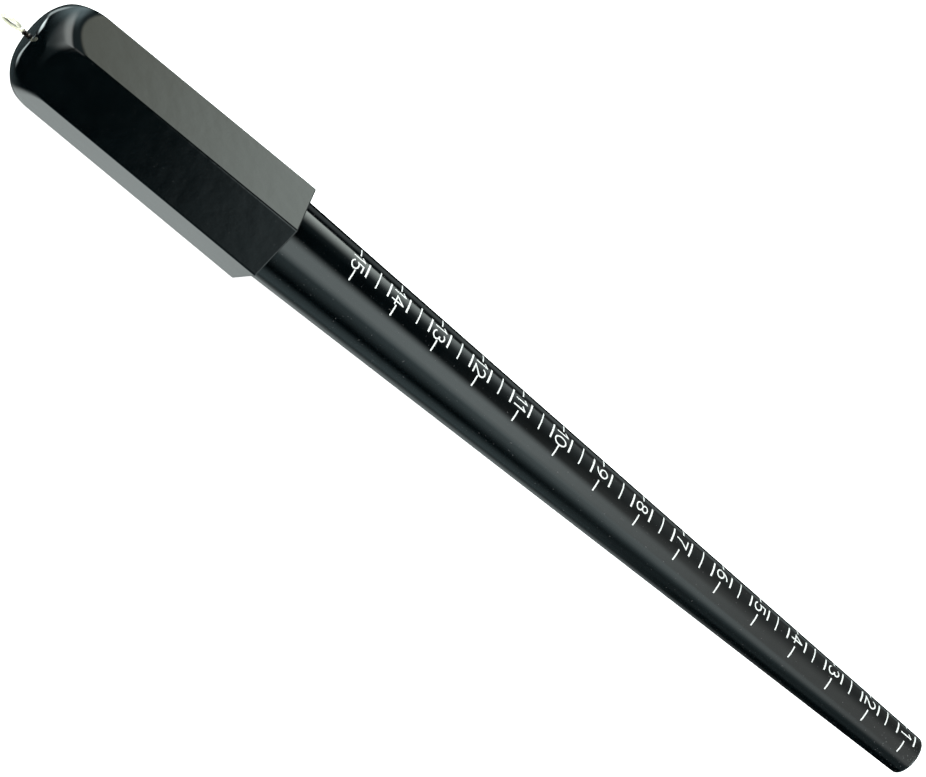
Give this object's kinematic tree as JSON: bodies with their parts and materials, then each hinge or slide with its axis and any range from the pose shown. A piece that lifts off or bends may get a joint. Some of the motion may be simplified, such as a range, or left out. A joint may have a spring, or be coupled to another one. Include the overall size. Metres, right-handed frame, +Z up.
{
  "type": "ring mandrel",
  "caption": "Tapered ring mandrel with a ring-size scale cut into its shaft, a domed hexagonal handle and a small screw eye to hang it by.",
  "frame": {"origin": "on the handle's bottom flat, the one opposite the scale, 36.75 mm from the mouth and on the surface that it lies on", "axes": "+X along the tool from the screw eye to the tip, +Z up out of the handle's bottom flat towards the scale, +Y to the left when looking along +X"},
  "size_m": [0.3329, 0.033, 0.0287],
  "materials": {
    "shaft_plastic": "gloss black, white paint in the engraved scale",
    "handle_plastic": "satin gloss black",
    "eye_steel": "bright plated wire, slightly yellow"
  },
  "bodies": {
    "root": {"shaft": "shaft_plastic", "handle": "handle_plastic", "screw_eye": "eye_steel"}
  },
  "joints": []
}
